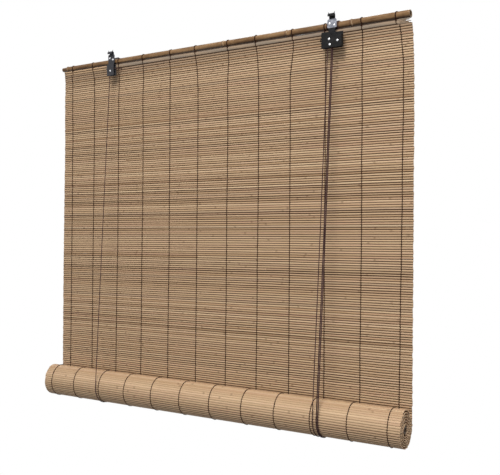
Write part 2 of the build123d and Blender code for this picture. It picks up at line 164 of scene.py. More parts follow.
def noise(vector, scale, detail=3.0, rough=0.5):
    values = {"Vector": vector, "Scale": scale, "Detail": detail, "Roughness": rough}
    return newNode(vector.tree, "ShaderNodeTexNoise", None, values)


# From the first colour to the second as share goes from 0 to 1
def tint(share, first, second):
    return newNode(share.tree, "ShaderNodeMix", {"data_type": "RGBA"}, {0: share, 6: first, 7: second}, 2)


def attribute(tree, name):
    return newNode(tree, "ShaderNodeAttribute", {"attribute_name": name}, None, "Fac")


def startMaterial(name, **values):
    material = bpy.data.materials.new(name)
    material.use_nodes = True
    tree = material.node_tree
    shader = tree.nodes["Principled BSDF"]
    for key, value in values.items():
        shader.inputs[key.replace("_", " ")].default_value = value
    return material, tree, shader, newNode(tree, "ShaderNodeTexCoord", None, None, "Object")


def bump(shader, height, distance):
    relief = newNode(height.tree, "ShaderNodeBump", None, {"Distance": distance, "Height": height})
    wire(height.tree, shader.inputs["Normal"], relief)


# Split reed: every slat has its own tone and its grain runs along it; each slat darkens towards its edges,
# painted shade in the grooves between slats, with real stain on some slats
def reedMaterial():
    material, tree, shader, coords = startMaterial("reedStainAndShade", Specular_IOR_Level=0.13)
    lane = attribute(tree, "lane")
    side = attribute(tree, "side")
    x = part(coords, "X")
    grain = noise(join(tree, x * 9.0, side * 3.0, lane * 5.13), 3.2, 5.0, 0.62)
    streak = noise(join(tree, x * 2.1, side * 0.7, lane * 3.71), 2.0, 2.0, 0.5)
    colour = tint(attribute(tree, "tone"), (0.46, 0.285, 0.155), (0.82, 0.590, 0.370))
    colour = tint(streak.ramp(0.46, 0.70) * 0.6, colour, (0.66, 0.405, 0.275))
    colour = tint(grain.ramp(0.5, 0.78) * 0.5, colour, (0.90, 0.69, 0.45))
    colour = tint(grain.ramp(0.47, 0.24) * 0.5, colour, (0.25, 0.140, 0.070))
    chance = ((lane * 12.9898).math("SINE") * 437.585).math("FRACT")
    turn = (x * 1.7 + chance).math("FRACT")
    knot = turn.ramp(0.49, 0.5) * turn.ramp(0.51, 0.5)
    colour = tint(knot * 0.45, colour, (0.17, 0.085, 0.045))
    colour = tint(attribute(tree, "pale") * 0.8, colour, (0.30, 0.260, 0.215))
    # Painted shade: each slat darkens towards its edges for the shade in the grooves between slats; the
    # per-slat value deepens it on some slats and lessens it on the roll
    edge = (side.math("ABSOLUTE") + attribute(tree, "stainAndShade")).ramp(0.42, 0.82)
    colour = tint(edge * 0.94, colour, (0.050, 0.023, 0.010))
    wire(tree, shader.inputs["Base Color"], colour)
    wire(tree, shader.inputs["Roughness"], grain.ramp(0.3, 0.7, 0.42, 0.62))
    bump(shader, grain + knot * 0.6, 0.0002)
    return material


def caneMaterial():
    shine = {"Specular_IOR_Level": 0.2, "Coat_Roughness": 0.25}
    material, tree, shader, coords = startMaterial("naturalCane", **shine)
    x = part(coords, "X")
    fibre = noise(stretch(coords, (9, 150, 150)), 3.0, 5.0, 0.6)
    patch = noise(stretch(coords, (7, 30, 30)), 2.2, 3.0, 0.55)
    colour = tint(patch.ramp(0.3, 0.7), (0.140, 0.070, 0.028), (0.300, 0.172, 0.076))
    colour = tint(fibre.ramp(0.5, 0.8) * 0.5, colour, (0.43, 0.28, 0.14))
    colour = tint(fibre.ramp(0.45, 0.2) * 0.6, colour, (0.062, 0.027, 0.011))
    band = noise(join(tree, x * 30.0, 0.0, 0.0), 2.0, 2.0, 0.5)
    colour = tint(band.ramp(0.52, 0.75) * 0.4, colour, (0.13, 0.056, 0.024))
    # Dark rings at the nodes, and painted shade deep inside the open ends
    colour = tint(attribute(tree, "ring") * 0.75, colour, (0.11, 0.045, 0.024))
    colour = tint(attribute(tree, "cut"), colour, (0.42, 0.30, 0.17))
    # Painted shade: the cane darkens underneath, towards the lath below it
    paintedShadeBelow = part(coords, "Z").ramp(axis["z"] - 3 * mm, axis["z"] - 8 * mm)
    colour = tint(paintedShadeBelow * 0.8, colour, (0.030, 0.014, 0.007))
    wire(tree, shader.inputs["Base Color"], colour)
    wire(tree, shader.inputs["Roughness"], fibre.ramp(0.3, 0.7, 0.34, 0.52))
    wire(tree, shader.inputs["Coat Weight"], patch.ramp(0.4, 0.7) * 0.25)
    bump(shader, fibre + patch * 0.5, 0.0003)
    return material


def threadMaterial():
    material, tree, shader, coords = startMaterial("darkThread", Specular_IOR_Level=0.06)
    strands = noise(stretch(coords, (900, 900, 540)), 1.0, 3.0, 0.6)
    colour = tint(strands.ramp(0.35, 0.7), (0.014, 0.006, 0.004), (0.070, 0.028, 0.016))
    wire(tree, shader.inputs["Base Color"], colour)
    wire(tree, shader.inputs["Roughness"], strands.ramp(0.3, 0.7, 0.72, 0.92))
    bump(shader, strands, 0.0002)
    return material


def cordMaterial():
    material, tree, shader, coords = startMaterial("braidedCord", Specular_IOR_Level=0.1)
    x = part(coords, "X")
    z = part(coords, "Z")
    plait = (x * 2600.0 + z * 1500.0).math("SINE") * (x * 2600.0 - z * 1500.0).math("SINE")
    fibres = noise(coords, 1800.0, 3.0, 0.6)
    worn = noise(coords, 35.0, 2.0, 0.5)
    colour = tint(worn.ramp(0.35, 0.7), (0.046, 0.022, 0.022), (0.088, 0.046, 0.044))
    colour = tint(plait.ramp(0.0, 0.9) * 0.35, colour, (0.20, 0.125, 0.12))
    wire(tree, shader.inputs["Base Color"], colour)
    wire(tree, shader.inputs["Roughness"], fibres.ramp(0.3, 0.7, 0.7, 0.9))
    bump(shader, plait * 0.6 + fibres * 0.5, 0.00025)
    return material


# Painted or bare metal, a little smeared; above a given height it may be lighter and more metallic, a
# painted sheen
def metalMaterial(name, dark, light, metal, rough, above=None):
    material, tree, shader, coords = startMaterial(name, Specular_IOR_Level=0.15)
    fine = noise(coords, 1400.0, 2.0, 0.5)
    smear = noise(stretch(coords, (60, 60, 140)), 1.0, 4.0, 0.6)
    colour = tint(smear.ramp(0.45, 0.75) * 0.6, dark, light)
    metallic = smear.ramp(0.5, 0.8, metal, min(metal + 0.2, 1.0))
    if above:
        paintedSheen = part(coords, "Z").ramp(above["z"] - above["blur"], above["z"] + above["blur"])
        colour = tint(paintedSheen, colour, tint(smear.ramp(0.3, 0.7), above["dark"], above["light"]))
        metallic = metallic + paintedSheen * 0.35
    wire(tree, shader.inputs["Base Color"], colour)
    wire(tree, shader.inputs["Metallic"], metallic)
    wire(tree, shader.inputs["Roughness"], smear.ramp(0.3, 0.75, rough, rough + 0.2))
    bump(shader, fine + smear, 0.00008)
    return material


# Painted sheen: the strap over the cane is lighter and bluer above this height, for the sky reflected on it
strapTone = {"z": -31 * mm, "blur": 1.5 * mm, "dark": (0.21, 0.22, 0.26), "light": (0.40, 0.41, 0.46)}
materials = {
    "reed": reedMaterial(),
    "cane": caneMaterial(),
    "thread": threadMaterial(),
    "cord": cordMaterial(),
    "paint": metalMaterial("blackPaint", (0.009, 0.009, 0.009), (0.030, 0.029, 0.030), 0.0, 0.42),
    "strap": metalMaterial("strapPaintedSheen", (0.009, 0.009, 0.010), (0.028, 0.028, 0.030), 0.0, 0.36, strapTone),
    "greyPaint": metalMaterial("greyPaint", (0.050, 0.050, 0.056), (0.085, 0.085, 0.094), 0.1, 0.38),
    "rivet": metalMaterial("brightRivet", (0.80, 0.80, 0.82), (0.92, 0.92, 0.92), 0.6, 0.14),
    "steel": metalMaterial("plainSteel", (0.28, 0.28, 0.29), (0.45, 0.45, 0.46), 0.8, 0.35),
    "sheave": metalMaterial("mouldedSheave", (0.02, 0.02, 0.02), (0.05, 0.05, 0.05), 0.0, 0.45),
}
print("materials", len(materials))


# Meshes
def makePiece(name, verts, faces, material, smooth=True):
    mesh = bpy.data.meshes.new(name)
    mesh.from_pydata([tuple(v) for v in verts], [], faces)
    mesh.validate()
    mesh.polygons.foreach_set("use_smooth", [smooth] * len(mesh.polygons))
    mesh.materials.append(material)
    piece = bpy.data.objects.new(name, mesh)
    bpy.context.scene.collection.objects.link(piece)
    return piece


def gather(parts):
    verts, faces = [], []
    for partVerts, partFaces in parts:
        start = len(verts)
        verts.extend(partVerts)
        faces.extend([tuple(i + start for i in face) for face in partFaces])
    return verts, faces


# Faces between rings of points, with a cap at both ends unless the rings meet
def closeRings(count, sides, closed=False):
    faces = []
    for i in range(count if closed else count - 1):
        for k in range(sides):
            a = i * sides + k
            b = i * sides + (k + 1) % sides
            c = ((i + 1) % count) * sides + (k + 1) % sides
            faces.append((a, b, c, ((i + 1) % count) * sides + k))
    if not closed:
        faces.append(tuple(range(sides))[::-1])
        faces.append(tuple(range((count - 1) * sides, count * sides)))
    return faces


# A tube along given points, with its radius given once or at each point
def tube(points, radii, sides=8, closed=False):
    points = [Vector(p) for p in points]
    count = len(points)
    if not hasattr(radii, "__len__"):
        radii = [radii] * count
    verts = []
    normal = None
    for i, point in enumerate(points):
        ahead = points[(i + 1) % count] if closed else points[min(i + 1, count - 1)]
        behind = points[i - 1] if closed else points[max(i - 1, 0)]
        along = (ahead - behind).normalized()
        if normal is None:
            normal = along.cross(Vector((0, 0, 1)) if abs(along.z) < 0.9 else Vector((0, 1, 0)))
        normal = (normal - along * normal.dot(along)).normalized()
        other = along.cross(normal)
        for k in range(sides):
            angle = 2 * pi * k / sides
            verts.append(point + (normal * cos(angle) + other * sin(angle)) * radii[i])
    return verts, closeRings(count, sides, closed)


# A shape turned about a line through centre, from pairs of distance along it and radius
def turned(centre, along, profile, sides=32):
    along = Vector(along).normalized()
    first = along.cross(Vector((0, 0, 1)) if abs(along.z) < 0.9 else Vector((1, 0, 0))).normalized()
    second = along.cross(first)
    verts = []
    for distance, r in profile:
        for k in range(sides):
            angle = 2 * pi * k / sides
            verts.append(Vector(centre) + along * distance + (first * cos(angle) + second * sin(angle)) * r)
    return verts, closeRings(len(profile), sides)


def setAttribute(mesh, name, values):
    layer = mesh.attributes.new(name, "FLOAT", "POINT")
    layer.data.foreach_set("value", np.asarray(values, np.float32))


# Puts a piece on its body and hides the CAD nodes it stands for; with anchor and foot given it gets a mesh
# of its own
def finishPiece(piece, body, nodes=(), anchor=None, foot=None):
    if anchor is not None:
        keep = 1 - lift / (anchor.z - foot)
        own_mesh(piece)
    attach(piece, body)
    if nodes:
        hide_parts(*nodes)


def named(tree, name, kind="FLOAT"):
    first = newNode(tree, "GeometryNodeInputNamedAttribute", {"data_type": kind}, {"Name": name})
    outputs = first.socket.node.outputs
    return Field(tree, [s for s in outputs if s.enabled and s.name == "Attribute"][0])


# What repeats is laid by one node tree: copies of a blank at given places, turned and sized by each
# place's own values, and made a little uneven in the copy's own directions
def layingTree():
    tree = bpy.data.node_groups.new("layCopies", "GeometryNodeTree")
    tree.interface.new_socket("Places", in_out="INPUT", socket_type="NodeSocketGeometry")
    tree.interface.new_socket("Blank", in_out="INPUT", socket_type="NodeSocketObject")
    for label in ("Wave", "Width Change", "Bulge", "Seed"):
        tree.interface.new_socket(label, in_out="INPUT", socket_type="NodeSocketFloat")
    tree.interface.new_socket("Material", in_out="INPUT", socket_type="NodeSocketMaterial")
    tree.interface.new_socket("Geometry", in_out="OUTPUT", socket_type="NodeSocketGeometry")
    start = newNode(tree, "NodeGroupInput").socket.node
    given = {socket.name: Field(tree, socket) for socket in start.outputs if socket.name}
    lane, tilt = named(tree, "lane"), named(tree, "tilt")
    copies = newNode(tree, "GeometryNodeInstanceOnPoints", None, {
        "Points": given["Places"],
        "Instance": newNode(tree, "GeometryNodeObjectInfo", None, {"Object": given["Blank"]}, "Geometry"),
        "Rotation": newNode(tree, "FunctionNodeEulerToRotation", None, {0: join(tree, tilt, 0.0, 0.0)}),
        "Scale": named(tree, "size", "FLOAT_VECTOR"),
    })
    real = newNode(tree, "GeometryNodeRealizeInstances", None, {0: copies})
    x = part(newNode(tree, "GeometryNodeInputPosition"), "X")
    row = lane * 7.31 + given["Seed"]
    wave = noise(join(tree, x * 7.0, lane * 0.09, given["Seed"]), 1.0, 1.0) - 0.5
    swell = noise(join(tree, x * 19.0, row, 5.7), 1.0, 2.0) - 0.5
    lump = noise(join(tree, x * 13.0, row, 9.1), 1.0, 1.0) - 0.5
    up = wave * given["Wave"] * 2.0 + swell * named(tree, "side") * given["Width Change"] * 2.0
    shift = join(tree, 0.0, lump * given["Bulge"] * 2.0, up)
    offset = newNode(
        tree, "ShaderNodeVectorRotate", {"rotation_type": "X_AXIS"}, {"Vector": shift, "Angle": tilt}
    )
    moved = newNode(tree, "GeometryNodeSetPosition", None, {"Geometry": real, "Offset": offset})
    look = {"Geometry": moved, "Material": given["Material"]}
    newNode(tree, "NodeGroupOutput", None, {0: newNode(tree, "GeometryNodeSetMaterial", None, look)})
    return tree


laying = layingTree()


def layCopies(name, blank, rows, material, wave=0.0, width=0.0, bulge=0.0, seed=0.0):
    mesh = bpy.data.meshes.new(name + "Places")
    mesh.from_pydata([tuple(row["at"]) for row in rows], [], [])
    for key in ("tilt", "tone", "lane", "pale", "stainAndShade"):
        setAttribute(mesh, key, [row.get(key, 0.0) for row in rows])
    layer = mesh.attributes.new("size", "FLOAT_VECTOR", "POINT")
    sizes = np.asarray([row.get("size", (1, 1, 1)) for row in rows], np.float32)
    layer.data.foreach_set("vector", sizes.ravel())
    holder = bpy.data.objects.new(name + "Places", mesh)
    bpy.context.scene.collection.objects.link(holder)
    modifier = holder.modifiers.new("lay", "NODES")
    modifier.node_group = laying
    wanted = {"Blank": blank, "Material": material}
    wanted |= {"Wave": wave, "Width Change": width, "Bulge": bulge, "Seed": seed}
    for item in laying.interface.items_tree:
        if item.item_type == "SOCKET" and item.in_out == "INPUT" and item.name in wanted:
            modifier[item.identifier] = wanted[item.name]
    bpy.context.view_layer.update()
    graph = bpy.context.evaluated_depsgraph_get()
    result = bpy.data.meshes.new_from_object(holder.evaluated_get(graph))
    result.name = name
    result.polygons.foreach_set("use_smooth", [True] * len(result.polygons))
    piece = bpy.data.objects.new(name, result)
    bpy.context.scene.collection.objects.link(piece)
    bpy.data.objects.remove(holder)
    print(name, "triangles", sum(len(p.vertices) - 2 for p in result.polygons))
    return piece


# Camera
view = {"turn": 32.188, "focal": 749.04, "horizon": 234.362, "wide": 500, "high": 475}
view["at"] = Vector((1242.0, -1752.1, -566.8)) * mm
cameraData = bpy.data.cameras.new("photoCamera")
cameraData.sensor_fit = "HORIZONTAL"
cameraData.sensor_width = 36
cameraData.lens = view["focal"] / view["wide"] * cameraData.sensor_width
cameraData.shift_y = (view["horizon"] - view["high"] / 2) / view["wide"]
cameraData.clip_end = 50
camera = bpy.data.objects.new("photoCamera", cameraData)
camera.location = view["at"]
camera.rotation_euler = (pi / 2, 0, radians(view["turn"]))
bpy.context.scene.collection.objects.link(camera)
bpy.context.scene.camera = camera
bpy.context.scene.view_settings.view_transform = "Standard"


# Soft studio light
def areaLight(name, at, aim, size, power, colour):
    data = bpy.data.lights.new(name, "AREA")
    data.size = size
    data.energy = power
    data.color = colour
    light = bpy.data.objects.new(name, data)
    light.location = at
    light.rotation_euler = (Vector(aim) - Vector(at)).to_track_quat("-Z", "Y").to_euler()
    bpy.context.scene.collection.objects.link(light)


# Each lamp's name, place, aim, size in metres, power and colour
lamps = [
    ("keyLight", (0.8, -3.2, 2.9), (0.05, 0, -0.75), 1.9, 162, (1.0, 0.98, 0.95)),
    ("sideLight", (2.6, -1.2, 0.2), (0.3, 0, -0.6), 1.4, 12, (0.95, 0.97, 1.0)),
    ("backLight", (-0.9, 2.6, 1.2), (0, 0, -0.6), 1.6, 45, (1.0, 0.99, 0.97)),
]
for lamp in lamps:
    areaLight(*lamp)
studio = {"sky": (0.93, 0.96, 1.0), "strength": 0.40, "reach": 6, "floor": -1.6}
studio["floorTones"] = [(0.20, 0.20, 0.20), (0.24, 0.24, 0.24)]


# White behind and below for the eye and in reflections; the shader's own light for the rest
def whiteToTheEye(tree, shaderOutput, output):
    ray = newNode(tree, "ShaderNodeLightPath").socket.node
    seen = Field(tree, ray.outputs["Is Camera Ray"])
    for kind in ("Is Glossy Ray", "Is Transmission Ray"):
        seen = seen.math("MAXIMUM", Field(tree, ray.outputs[kind]))
    values = {0: seen, 1: Field(tree, shaderOutput), 2: newNode(tree, "ShaderNodeEmission")}
    wire(tree, output, newNode(tree, "ShaderNodeMixShader", None, values))


world = bpy.data.worlds.new("studio")
world.use_nodes = True
bpy.context.scene.world = world
tree = world.node_tree
sky = tree.nodes["Background"]
wire(tree, sky.inputs["Color"], studio["sky"])
wire(tree, sky.inputs["Strength"], studio["strength"])
whiteToTheEye(tree, sky.outputs[0], tree.nodes["World Output"].inputs["Surface"])

floorMaterial, tree, shader, coords = startMaterial("paleFloor", Roughness=0.9)
wire(tree, shader.inputs["Base Color"], tint(noise(coords, 3.0, 2.0), *studio["floorTones"]))
whiteToTheEye(tree, shader.outputs[0], tree.nodes["Material Output"].inputs["Surface"])
ways = [(-1, -1), (1, -1), (1, 1), (-1, 1)]
floorCorners = [(x * studio["reach"], y * studio["reach"], studio["floor"]) for x, y in ways]
makePiece("paleFloor", floorCorners, [(0, 1, 2, 3)], floorMaterial, False)
print("camera, light and floor")

# Slats: rounded in front and flatter behind, with the section's corners in the order that turns faces
# outwards. Their left ends fall short by row, and some rows are pale. The last line says how far off the
# upper rows and the others lie, and how many rows are upper.
slat = {"thick": [2.5 * mm, 3.0 * mm], "overlap": 1.07, "broken": 0.12, "cutEdge": 0.9, "cut": 0.4 * mm}
slat["short"] = {0: 9 * mm, 6: 2 * mm, 14: -4.2 * mm, 100: -3.6 * mm, 160: 0}
slat["paleRows"] = {0: 0.4, 1: 0.1, 2: 0.3, 4: 0.15}
slat["section"] = [
    (-0.40, 0.42), (0.00, 0.50), (0.40, 0.42), (0.50, 0.12), (0.43, -0.20),
    (0.27, -0.42), (0.00, -0.50), (-0.27, -0.42), (-0.43, -0.20), (-0.50, 0.12),
]
slat["loose"] = [0.18 * mm, 0.10 * mm, 8]


def slatBlank(name, cuts):
    section = slat["section"]
    verts, sides = [], []
    shares = [-0.5, -0.4997, *np.linspace(-0.5, 0.5, cuts + 1)[1:-1], 0.4997, 0.5]
    for share in shares:
        verts += [(share * mat["width"], out, across) for across, out in section]
        # On the cut ends the side value is smaller, so the painted edge shade there is lighter
        sides += [across * (2 if abs(share) < 0.5 else slat["cutEdge"]) for across, _ in section]
    blank = makePiece(name, verts, closeRings(len(shares), len(section)), materials["reed"])
    setAttribute(blank.data, "side", sides)
    return blank


def slatTone():
    return float(np.clip(dice.normal(0.5, 0.19), 0, 1))


# One slat, or two that meet end to end somewhere between
def slatPieces(left, right):
    if dice.random() > slat["broken"]:
        return [(left, right)]
    meet = dice.uniform(0.15, 0.85) * (right - left) + left
    return [(left, meet - slat["cut"]), (meet + slat["cut"], right)]


def hangingRows():
    rows = []
    looseTop, looseBelow, looseRows = slat["loose"]
    for i in range(mat["count"]):
        depth = mat["lath"] + (i + 0.5) * mat["pitch"]
        short = float(np.interp(i, list(slat["short"]), list(slat["short"].values())))
        left = -mat["width"] / 2 + short + dice.uniform(-0.8, 0.8) * mm
        right = mat["width"] / 2 + dice.uniform(-0.8, 0.8) * mm
        loose = looseTop if i < looseRows else looseBelow
        at = place(0, matSet(depth), -mat["top"] - depth + dice.uniform(-1, 1) * loose)
        thick = dice.uniform(*slat["thick"])
        high = (mat["pitch"] * slat["overlap"] - dice.uniform(0, 0.2) * mm) / cos(matTilt(depth))
        stainAndShade = dice.normal(0, 0.05) + (0.25 if dice.random() < 0.06 else 0)
        for number, (start, end) in enumerate(slatPieces(left, right)):
            rows.append({
                "at": (at[0] + (start + end) / 2, at[1], at[2]),
                "tilt": matTilt(depth) + dice.normal(0, 0.05),
                "tone": slatTone(),
                "lane": i + 1 + number * 0.5,
                "stainAndShade": stainAndShade,
                "pale": slat["paleRows"].get(i, 0.5 * max(0.0, dice.normal(-0.35, 0.4))),
                "size": ((end - start) / mat["width"], thick, high),
            })
    return rows


# Slats along the spiral, a pitch apart, from the hanging mat's end in to the core
def rolledRows():
    rows = []
    turn = 0.5 * mat["pitch"] / roll["r"]
    step = 0.002
    while roll["r"] - roll["lap"] * turn / (2 * pi) > roll["core"] + 1.8 * mm:
        back, up = rollPoint(turn)
        nextBack, nextUp = rollPoint(turn + step)
        rows.append({
            "at": place(1.5 * mm + dice.uniform(-1, 1) * mm, back, up),
            "tilt": atan2(nextBack - back, up - nextUp),
            "tone": float(np.clip(slatTone() - 0.05, 0, 1)),
            # Painted light: the rolled slats get less painted edge shade, least on the roll's upper side
            # where light falls
            "stainAndShade": -0.06 - 0.38 * max(0.0, -sin(turn + 0.4)),
            "lane": 300 + len(rows),
            "pale": 0.4 * max(0.0, dice.normal(-0.3, 0.4)),
            "size": (0.9965, dice.uniform(2.4, 2.9) * mm, mat["pitch"] * 1.01),
            "turn": turn,
        })
        turn += mat["pitch"] * step / hypot(nextBack - back, nextUp - up)
    return rows


# The first rows, in front of the cord between the brackets, keep their places as the roll rises. The rows
# under them are a piece of their own.
mat["fixedRows"] = 5
matFold = place(0, 0, -mat["top"] - mat["lath"] - mat["fixedRows"] * mat["pitch"])
matFoot = axis["z"] - mat["top"] - mat["drop"]


def layHanging(name, blank, rows, slot, look, nodes, *uneven):
    fixed = [row for row in rows if row["at"][2] > matFold.z]
    closing = [row for row in rows if row["at"][2] <= matFold.z]
    finishPiece(layCopies(name + "Top", blank, fixed, materials[look], *uneven), "head")
    piece = layCopies(name, blank, closing, materials[look], *uneven)
    finishPiece(piece, "head", nodes, matFold, matFoot)


longBlank = slatBlank("slatBlank", 48)
shortBlank = slatBlank("slatBlankShort", 36)
# How far slats wave together, change in width and bulge, and the seed: hanging, then rolled
uneven = (0.9 * mm, 0.12 * mm, 0.18 * mm, 3.0)
unevenRolled = (0.12 * mm, 0.12 * mm, 0.10 * mm, 8.0)
layHanging("hangingSlats", longBlank, hangingRows(), "reed", "reed", ["reed_mat"], *uneven)
rolledPlaces = rolledRows()
rolled = layCopies("rolledSlats", shortBlank, rolledPlaces, materials["reed"], *unevenRolled)
finishPiece(rolled, "roll", ["rolled_mat"])
for blank in (longBlank, shortBlank):
    bpy.data.objects.remove(blank)


# Lath: the first strip under the cane. Left of the pulley it is two plain slats, right of it one wide
# pale strip, whose right end is torn into splinters of these lengths.
lath = {"thick": 2.4 * mm, "left": -590 * mm, "pale": -402 * mm, "torn": 568 * mm, "cuts": 76}
lath["splinters"] = [29 * mm, 26 * mm, 17 * mm, 30 * mm, 24 * mm, 29 * mm]


def lathStrip(xs, tops, bottoms):
    verts, side = [], []
    for x, top, bottom in zip(xs, tops, bottoms):
        for across, out in slat["section"]:
            up = (top + bottom) / 2 + across * (top - bottom)
            back = matSet(max(-up - mat["top"], 0)) + out * lath["thick"]
            verts.append(place(x, back, up))
            side.append(across * 2)
    return verts, closeRings(len(xs), len(slat["section"])), side


def makeLath():
    low = -mat["top"] - mat["lath"] - 0.3 * mm
    strips = []
    xs = np.linspace(lath["left"], lath["pale"], 16)
    tops = np.array([-caneRadius(x) - 0.5 * mm for x in xs])
    middles = (tops + low) / 2 + dice.normal(0, 0.2, len(xs)) * mm
    strips.append(lathStrip(xs, tops, middles - 0.2 * mm))
    strips.append(lathStrip(xs, middles + 0.2 * mm, np.full(len(xs), low)))
    xs = np.linspace(lath["pale"], lath["torn"], lath["cuts"])
    wander = np.convolve(dice.normal(0, 1.1, len(xs) + 8), np.ones(9) / 9, "valid") * mm
    tops = [-caneRadius(x) - 0.5 * mm + min(w, 0.3 * mm) for x, w in zip(xs, wander)]
    strips.append(lathStrip(xs, tops, [low + abs(w) * 0.5 for w in wander]))
    high = -caneRadius(lath["torn"]) - 0.6 * mm
    count = len(lath["splinters"])
    for i, reach in enumerate(lath["splinters"]):
        xs = np.linspace(lath["torn"] - 6 * mm, lath["torn"] + reach, 9)
        middle = high + (low - high) * (i + 0.5) / count
        fall = np.linspace(0, dice.uniform(-0.5, 0.4) * mm, 9)
        half = (high - low) / count / 2 * np.array([1.1, 1.2, 1.2, 1.2, 1.15, 1.1, 1.05, 0.95, 0.6])
        strips.append(lathStrip(xs, middle + fall + half, middle + fall - half))
    verts, faces = gather([(v, f) for v, f, _ in strips])
    piece = makePiece("topLath", verts, faces, materials["reed"])
    sides = [side for strip in strips for side in strip[2]]
    setAttribute(piece.data, "side", sides)
    setAttribute(piece.data, "tone", [0.4] * len(sides))
    pale = [
        0.8 + 0.2 * sin(vert.co.x * 41 + vert.co.z * 300) if vert.co.x > lath["pale"] - mm else 0
        for vert in piece.data.vertices
    ]
    setAttribute(piece.data, "pale", pale)
    lanes = [900 + i for i, strip in enumerate(strips) for _ in strip[2]]
    setAttribute(piece.data, "lane", lanes)
    return piece


finishPiece(makeLath(), "head")
print("lath")

# Threads: one strand crosses each slat in front, one behind, and they pass each other between slats.
# Each thread wanders: how far its lashing, its top, its upper part and its foot stand from their even
# places, in mm.
thread |= {"r": 0.88 * mm, "knot": 1.25 * mm, "out": 2.1 * mm, "lean": 0.45 * mm, "sides": 6}
thread["settled"] = 0.09
thread["wander"] = [
    (16, 9, -1, 2.5), (1, 2, -6, -4.5), (7.5, 6, -5.5, -4.5), (2, 1, -10, -6),
    (6, 1, -8, -5), (-6, -6, -6, -5), (4.5, 6, -5, -5), (-5, -4, -4.5, -4),
    (8, 10, -8, -5), (2, 2, -3.5, -3), (3, 4, -2.5, -2.5), (-8, 1, 6.5, -0.5),
]


def stitchBlank(name, front):
    reach = -thread["out"] if front else thread["out"]
    lean = thread["lean"] if front else -thread["lean"]
    half = mat["pitch"] / 2
    path = [(-1.0, 0.15, -1.0), (-0.9, 0.66, -0.80), (-0.5, 0.97, -0.45), (0, 1.05, 0),
            (0.5, 0.97, 0.45), (0.9, 0.66, 0.80), (1.0, 0.15, 1.0)]
    points = [(lean * a, reach * b, half * c) for a, b, c in path]
    fat = [thread["knot"], thread["knot"], thread["r"]]
    verts, faces = tube(points, [*fat, thread["r"], *fat[::-1]], thread["sides"])
    blank = makePiece(name, verts, faces, materials["thread"])
    setAttribute(blank.data, "side", [0.0] * len(verts))
    return blank


def stitchRows(places, start, wandering):
    rows = []
    for number, x in enumerate(warpPlaces):
        drift = np.cumsum(dice.normal(0, 0.12, len(places)))
        shifts = thread["wander"][number][1:]
        for k, (at, tilt) in enumerate(places):
            share = k / len(places) if wandering else 1
            shift = float(np.interp(share, [0, thread["settled"], 1], shifts))
            sway = (float(np.clip(drift[k], -1.0, 1.0)) + shift) * mm
            where = (x + sway, at[1], at[2])
            rows.append({"at": where, "tilt": tilt, "lane": start + number, "size": (1, 1, 1.03)})
    return rows


hangingPlaces = []
for i in range(mat["count"]):
    depth = mat["lath"] + (i + 0.5) * mat["pitch"]
    hangingPlaces.append((place(0, matSet(depth), -mat["top"] - depth), matTilt(depth)))
outerPlaces = [(row["at"], row["tilt"]) for row in rolledPlaces if row["turn"] < 2 * pi * 1.03]
warpNames = [f"warp_{i + 1:02d}" for i in range(thread["count"])]
frontBlank = stitchBlank("stitchFront", True)
backBlank = stitchBlank("stitchBack", False)
layHanging("frontStitches", frontBlank, stitchRows(hangingPlaces, 0, True), "thread", "thread", warpNames)
layHanging("backStitches", backBlank, stitchRows(hangingPlaces, 20, True), "thread", "thread", ())
stitches = layCopies("rollStitches", backBlank, stitchRows(outerPlaces, 40, False), materials["thread"])
finishPiece(stitches, "roll", ["roll_warps"])
for blank in (frontBlank, backBlank):
    bpy.data.objects.remove(blank)


# Canes: a round stem with its cut ends open. At each node stand a swelling, a groove, a dark ring and a
# pale patch, each given by its height, its place beside the node and its width, in mm.
cane["step"] = 7 * mm
cane["nodeCuts"] = (-6, -4, -2.4, -1.4, -0.7, 0, 0.7, 1.4, 2.4, 4, 6)
cane["swell"] = (1.3, 0, 3.2)
cane["groove"] = (-0.45, -2.6, 1.0)
cane["ring"] = (1, -2, 1.6)
cane["patch"] = (0.5, 2.5, 3)
cane["rim"] = {"wide": 0.4 * mm, "deep": 0.3 * mm}


def bell(at, high, middle, wide):
    return high * float(np.exp(-(((at - middle) / wide) ** 2)))


